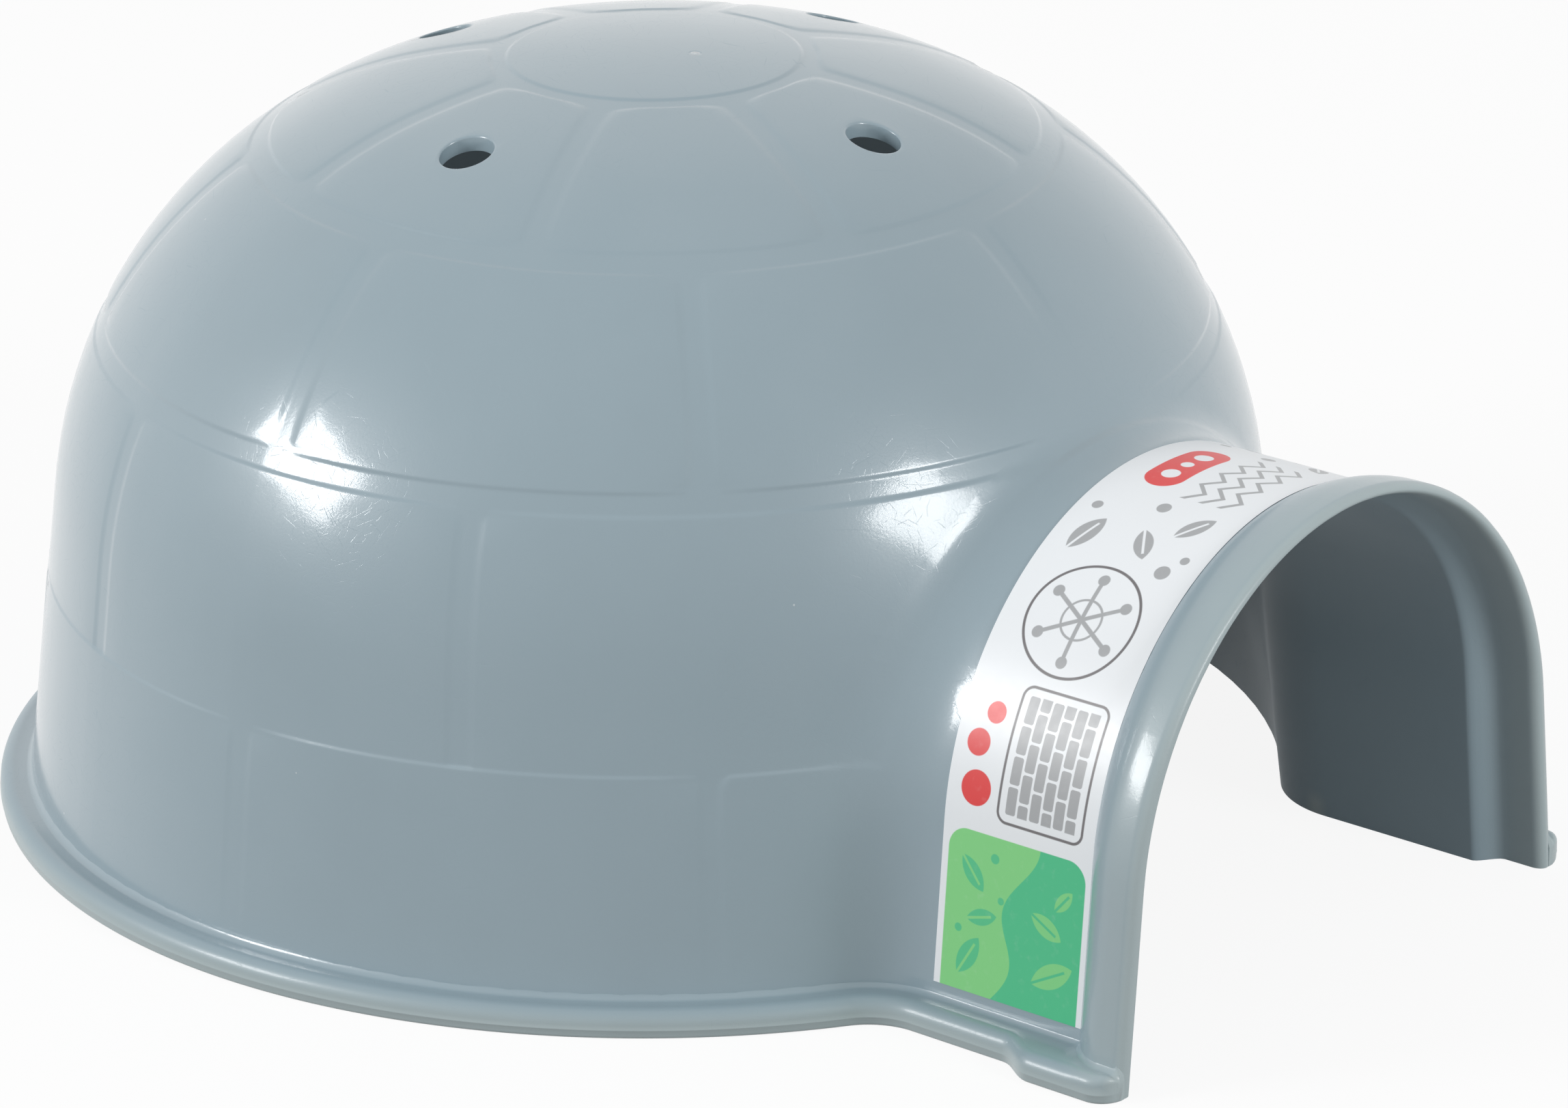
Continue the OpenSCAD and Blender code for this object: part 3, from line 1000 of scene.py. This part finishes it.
def makePlastic():
    material, tree, shader = startMaterial("grey blue moulded plastic")
    spot = coordinates(tree, "Object")
    x, y, z = [axis * 1000 for axis in spot.parts()]
    y = y - domeY

    # painted glow: a paler colour painted where light shines through the slender bead of the rim and the
    # lip of the mouth, and a painted lighter tone over the collar
    foot, leg, top = dome["baseRadius"], tunnel["halfWidth"], rim["height"]
    mouthY, flareY = tunnel["mouthY"], tunnel["flareY"]
    inTunnel = y.ramp(tunnel["blendY"] + 1.3, tunnel["blendY"] - 0.7)
    bead = ((x * x + y * y) ** 0.5).ramp(foot + 1.5, foot + 3.3) * (1 - inTunnel)
    bead = (bead + abs(x).ramp(leg + 1.7, leg + 3.2) * inTunnel).least(1.0)
    # painted lighter tone: full at the lip, and 0.6 over the collar behind it
    lip = y.ramp(mouthY + 2.2, mouthY + 0.2).most(y.ramp(flareY, mouthY + 2.4) * 0.6)
    paintedGlow = (z.ramp(top + 0.2, top - 2.2) * bead).most(lip)
    inner = spot.node("ShaderNodeAttribute", {"attribute_name": "inner"}, {}, 2)

    # broad soft tones, as the melt leaves them
    tone = (spot.noise(22.0, 2.0) - 0.5) * 0.26 + (spot.noise(110.0, 3.0) - 0.5) * 0.13
    # painted glow mixed into the base colour
    colour = plainColour(tree, plastic["colour"]).blend(paintedGlow * 0.9, plastic["paintedGlow"])
    colour = colour.blend(tone.most(0.0), plastic["pale"])
    colour = colour.blend((tone * -1.0).most(0.0), plastic["deep"])

    # a few pale specks of dust, and the mark of the gate on the crown
    specks = spot.node("ShaderNodeTexVoronoi", {"feature": "F1"}, {"Vector": spot, "Scale": 160.0})
    chance = Signal(tree, specks.socket.node.outputs["Color"])
    pick = spot.node("ShaderNodeSeparateColor", {}, {0: chance})
    speck = specks.ramp(0.030, 0.012) * pick.ramp(0.80, 0.84)
    colour = colour.blend(speck * 0.5, plastic["dust"])
    gate = distance(x, y, *plastic["gateAt"])
    gate = gate.most((80.0 - z) * 0.1)  # only near the crown
    colour = colour.blend(gate.ramp(0.65, 0.45) * 0.6, plastic["gate"])
    feed(tree, shader, "Base Color", colour)

    # scratches from handling, mould grain and the gate's raised ring
    fine = scratches(spot, *plastic["shortScratch"])
    long = scratches(spot, *plastic["longScratch"])
    worn = spot.noise(45.0, 1.0)
    marks = (fine * worn.ramp(0.35, 0.6) + long * 0.8).least(1.0)
    height = spot.noise(3000.0, 1.0) * plastic["grainDepth"] - marks * plastic["scratchDepth"]
    height = height + spot.noise(160.0, 1.0) * plastic["rippleDepth"]
    height = height + gate.ramp(0.5, 0.2) * plastic["gateRise"] - gate.ramp(0.9, 0.6) * plastic["gateRing"]
    bump = height.bump()
    feed(tree, shader, "Normal", bump)

    # glossy all over, but dull inside, on the bead of the rim and at the lip
    rough = plastic["roughness"] + (worn - 0.5) * 0.12 + marks * 0.2
    feed(tree, shader, "Roughness", (rough + inner * 0.2).least(0.7))
    dull = (inner * 0.95).most(bead * z.ramp(top + 1.8, top + 1.2) * 0.8)
    dull = dull.most(y.ramp(flareY + 0.2, flareY - 0.6) * 0.45)
    dull = dull.most(y.ramp(mouthY + 1.8, mouthY + 1.0) * 0.85)
    feed(tree, shader, "Coat Weight", 1.0 - dull)
    shader.inputs["IOR"].default_value = 1.5
    shader.inputs["Coat Roughness"].default_value = plastic["coatRoughness"]
    shader.inputs["Coat IOR"].default_value = 1.45
    feed(tree, shader, "Coat Normal", bump)
    return material


paper = {
    "white": (0.85, 0.88, 0.905, 1.0),
    "lightGreen": (0.237, 0.67, 0.246, 1.0),
    "darkGreen": (0.075, 0.535, 0.262, 1.0),
    "grey": (0.36, 0.37, 0.38, 1.0),
    "line": (0.13, 0.12, 0.125, 1.0),
    "coral": (0.75, 0.055, 0.055, 1.0),
    "fibre": (0.9, 0.92, 0.93, 1.0),
    "soft": 0.07,
    # leaves: place along and across, turn, length and width; dots: place and radius
    "leavesOnDark": [(5.0, 16.6, 62, 6.4, 2.9), (10.6, 15.4, 118, 5.0, 2.3), (14.2, 17.6, 40, 3.6, 1.7)],
    "leavesOnLight": [(4.4, 4.6, 30, 5.6, 2.5), (9.4, 6.2, 75, 4.4, 2.0), (14.4, 4.6, 140, 5.0, 2.3)],
    "dotsOnLight": [(7.4, 3.0, 0.5), (12.0, 8.8, 0.45), (16.8, 7.6, 0.6)],
    "berries": [(24.4, 4.0, 2.1), (29.6, 3.2, 1.6), (33.4, 4.6, 1.3)],
    "greyLeaves": [(57.6, 4.2, 20, 6.0, 2.8), (58.2, 12.0, 150, 5.0, 2.4), (62.6, 16.2, 35, 5.4, 2.4)],
    "pebbles": [(62.2, 2.6, 0.7), (55.0, 16.8, 1.0), (57.4, 18.4, 0.6), (64.6, 10.4, 0.9)],
    "snowBalls": [(71.6, 6.2, 1.15), (74.78, 6.2, 0.8)],
    # panels: two sides along, two sides across and the corner's radius
    "greenField": (-12.0, 19.4, 0.9, 20.5, 2.6),
    "blockFrame": (21.4, 37.4, 7.4, 19.4, 1.3),
    "blockField": (22.4, 36.4, 8.4, 18.4, 0.1),
    "block": (-1.62, 1.62, -0.7, 0.7, 0.3),
    "bar": (68.2, 90.0, 3.6, 8.8, 2.6),
    "blocksFrom": (22.3, 8.3),
    "blockWidth": 3.55,
    "blockHeight": 1.7,
    "frameWide": 0.34,
    "starAt": (46.4, 10.6),
    "starArm": 5.5,
    "starWide": 0.54,
    "starBall": 0.75,
    "starRing": (7.3, 0.36),
    "starHub": (2.6, 0.3),
    "hillsFrom": 67.2,
    "hillHeight": 1.9,
    "hillTops": [11.0, 13.6, 16.2],
    "waveAt": 8.2,
}


# Printed shapes: each is 1 inside and 0 outside, in millimetres on the label
def printed(away, limit):
    return away.ramp(limit + paper["soft"], limit - paper["soft"])


def disc(s, v, atS, atV, radius):
    return printed(distance(s, v, atS, atV), radius)


def ring(s, v, atS, atV, radius, wide):
    return printed(abs(distance(s, v, atS, atV) - radius), wide / 2)


def panelDistance(s, v, lowS, highS, lowV, highV, corner):
    outS = abs(s - (lowS + highS) / 2) - ((highS - lowS) / 2 - corner)
    outV = abs(v - (lowV + highV) / 2) - ((highV - lowV) / 2 - corner)
    away = (outS.most(0.0) ** 2 + outV.most(0.0) ** 2) ** 0.5
    return away + outS.most(outV).least(0.0) - corner


def panel(s, v, *sides):
    return printed(panelDistance(s, v, *sides), 0.0)


# A leaf between two arcs, turned by an angle in degrees, its midrib left bare
def leaf(s, v, atS, atV, turn, length, width):
    a = math.radians(turn)
    along = (s - atS) * math.cos(a) + (v - atV) * math.sin(a)
    side = (v - atV) * math.cos(a) - (s - atS) * math.sin(a)
    bow = (length ** 2 / 4 - width ** 2 / 4) / width
    radius = bow + width / 2
    whole = printed(distance(along, abs(side), 0.0, -bow), radius)
    rib = abs(side).ramp(0.1, 0.22)
    return whole * rib.most(along.ramp(length * 0.3, length * 0.34))


def makePaper(length):
    material, tree, shader = startMaterial("coated label paper")
    along, across, _ = coordinates(tree, "UV").parts()
    s = (along * length).least(length - along * length)
    v = across * (label["backY"] - label["frontY"])

    def leaves(places):
        return together([leaf(s, v, *place) for place in places])

    def discs(places):
        return together([disc(s, v, *place) for place in places])

    # two greens at each end, with leaves
    green = panel(s, v, *paper["greenField"])
    wave = (s * 0.42).math("SINE") * 1.5 + s * 0.22 + paper["waveAt"]
    onDark = (v - wave).ramp(-0.06, 0.06)
    darkPrint = leaves(paper["leavesOnLight"]).most(discs(paper["dotsOnLight"]))
    light = plainColour(tree, paper["lightGreen"]).blend(darkPrint * 0.9, paper["darkGreen"])
    lightPrint = leaves(paper["leavesOnDark"])
    dark = plainColour(tree, paper["darkGreen"]).blend(lightPrint * 0.9, paper["lightGreen"])
    colour = plainColour(tree, paper["white"]).blend(green, light.blend(onDark, dark))

    # an outlined panel of snow blocks, and three coral berries
    lines = printed(abs(panelDistance(s, v, *paper["blockFrame"])), paper["frameWide"] / 2)
    fromS, fromV = paper["blocksFrom"]
    rows = (v - fromV) / paper["blockHeight"]
    columns = (s - fromS) / paper["blockWidth"] + rows.math("FLOOR").math("MODULO", 2.0) * 0.5
    beside = abs(columns.math("FRACT") - 0.5) * paper["blockWidth"]
    above = abs(rows.math("FRACT") - 0.5) * paper["blockHeight"]
    blocks = panelDistance(beside, above, *paper["block"]).ramp(0.05, -0.05)
    blocks = blocks * panel(s, v, *paper["blockField"])

    # a snow star in a ring: three bars, a ball at each tip and a small ring
    starS, starV = paper["starAt"]
    arm, half = paper["starArm"], paper["starWide"] / 2
    lines = lines.most(ring(s, v, starS, starV, *paper["starRing"]))
    star = ring(s, v, starS, starV, *paper["starHub"])
    for turn in range(0, 360, 60):
        c, n = math.cos(math.radians(turn)), math.sin(math.radians(turn))
        star = star.most(disc(s, v, starS + arm * c, starV + arm * n, paper["starBall"]))
        if turn < 180:
            beside = abs((v - starV) * c - (s - starS) * n)
            outward = abs((s - starS) * c + (v - starV) * n)
            star = star.most(printed(beside, half) * outward.ramp(arm + 0.2, arm + 0.1))

    # over the crown: leaves, pebbles, zigzag hills and a coral bar of snow balls
    grey = together([blocks, star, leaves(paper["greyLeaves"]), discs(paper["pebbles"])])
    start = paper["hillsFrom"]
    hills = (s - start).math("PINGPONG", paper["hillHeight"])
    for top in paper["hillTops"]:
        grey = grey.most(abs(v - top - hills).ramp(0.42, 0.30) * s.ramp(start - 0.1, start + 0.1))
    bar = panel(s, v, *paper["bar"]) * (1 - discs(paper["snowBalls"]))

    colour = colour.blend(grey * 0.92, paper["grey"])
    colour = colour.blend(lines * 0.95, paper["line"])
    colour = colour.blend(discs(paper["berries"]).most(bar), paper["coral"])

    # print grain, and soft creases near the ends of the strip
    spot = coordinates(tree, "Object")
    mottle = spot.noise(900.0, 2.0)
    colour = colour.blend((mottle - 0.5).ramp(0.05, 0.5) * 0.12, paper["fibre"])
    feed(tree, shader, "Base Color", colour)
    creases = spot.noise(260.0, 2.0) * s.ramp(7.0, 0.0) * 0.00006
    height = creases + spot.noise(60.0, 1.0) * 0.00003 + mottle * 0.000001
    feed(tree, shader, "Normal", height.bump())
    feed(tree, shader, "Roughness", 0.3 + mottle * 0.1)
    return material


igloo.data.materials.append(makePlastic())
wrap.data.materials.append(makePaper(labelLength))


# Camera, lights and floor

camera = {
    "position": (-0.67276368, -0.56910107, 0.37096784),
    "right": (0.6378926812, -0.7700943694, -0.0068985047),
    "up": (0.2815733914, 0.2248796737, 0.9328159291),
    "back": (-0.7168049612, -0.5969788895, 0.3602871814),
    "lens": 176.697,
    "sensor": 36.0,
    "clipStart": 0.05,
}

lamps = {
    "left": {
        "azimuth": -124.0,
        "elevation": 22.5,
        "roll": -12.0,
        "width": 0.41,
        "height": 0.28,
        "power": 7.2,
    },
    "right": {
        "azimuth": 2.5,
        "elevation": 22.0,
        "roll": 40.0,
        "width": 0.33,
        "height": 0.31,
        "power": 5.2,
    },
}
lampDistance = 1.2
lampAim = Vector((0, 0, 0.05))

room = {
    "worldLight": 0.55,
    "floorSize": 6.0,
    "floorBounce": 0.3,
    "floorSeen": 0.9,
}


def makeCamera():
    data = bpy.data.cameras.new("camera")
    data.lens = camera["lens"]
    data.sensor_width = camera["sensor"]
    data.clip_start = camera["clipStart"]
    piece = addObject("camera", data)
    turn = Matrix((camera["right"], camera["up"], camera["back"])).transposed()
    piece.matrix_world = Matrix.Translation(camera["position"]) @ turn.to_4x4()
    bpy.context.scene.camera = piece


def makeLamp(name, values):
    data = bpy.data.lights.new(name, "AREA")
    data.shape = "RECTANGLE"
    data.size = values["width"]
    data.size_y = values["height"]
    data.energy = values["power"]
    piece = addObject(name, data)
    a = math.radians(values["azimuth"])
    e = math.radians(values["elevation"])
    way = Vector((math.sin(a) * math.cos(e), -math.cos(a) * math.cos(e), math.sin(e)))
    turned = way.to_track_quat("Z", "Y").to_matrix().to_4x4()
    roll = Matrix.Rotation(math.radians(values["roll"]), 4, "Z")
    piece.matrix_world = Matrix.Translation(lampAim + way * lampDistance) @ turned @ roll


# White to the camera and in reflections, and a plain light level otherwise
def makeWorld():
    world = bpy.data.worlds.new("studio")
    bpy.context.scene.world = world
    world.use_nodes = True
    tree = world.node_tree
    background = tree.nodes["Background"]
    background.inputs["Color"].default_value = (1, 1, 1, 1)
    plain = room["worldLight"]
    feed(tree, background, "Strength", plain + seenDirectly(tree) * (1.0 - plain))


# A white floor that keeps the object's shadow and throws little light back up
def makeFloor():
    bm = bmesh.new()
    bmesh.ops.create_grid(bm, x_segments=1, y_segments=1, size=room["floorSize"])
    piece = makeObject("floor", bm)
    material, tree, shader = startMaterial("white floor")
    shader.inputs["Roughness"].default_value = 1.0
    shader.inputs["Specular IOR Level"].default_value = 0.0
    seen = seenDirectly(tree)
    bounce = room["floorBounce"]
    feed(tree, shader, "Base Color", bounce + seen * (room["floorSeen"] - bounce))
    plain = Signal(tree, shader.outputs[0])
    white = plain.node("ShaderNodeEmission", {}, {"Color": (1, 1, 1, 1), "Strength": 1.0})
    glow = seen * room["floorSeen"]
    mixed = plain.node("ShaderNodeMixShader", {}, {0: glow, 1: plain, 2: white})
    feed(tree, tree.nodes["Material Output"], "Surface", mixed)
    piece.data.materials.append(material)


print("camera, lights and floor")
makeCamera()
for lampName, lampValues in lamps.items():
    makeLamp(lampName + " soft box", lampValues)
makeWorld()
makeFloor()
bpy.context.scene.view_settings.view_transform = "Standard"
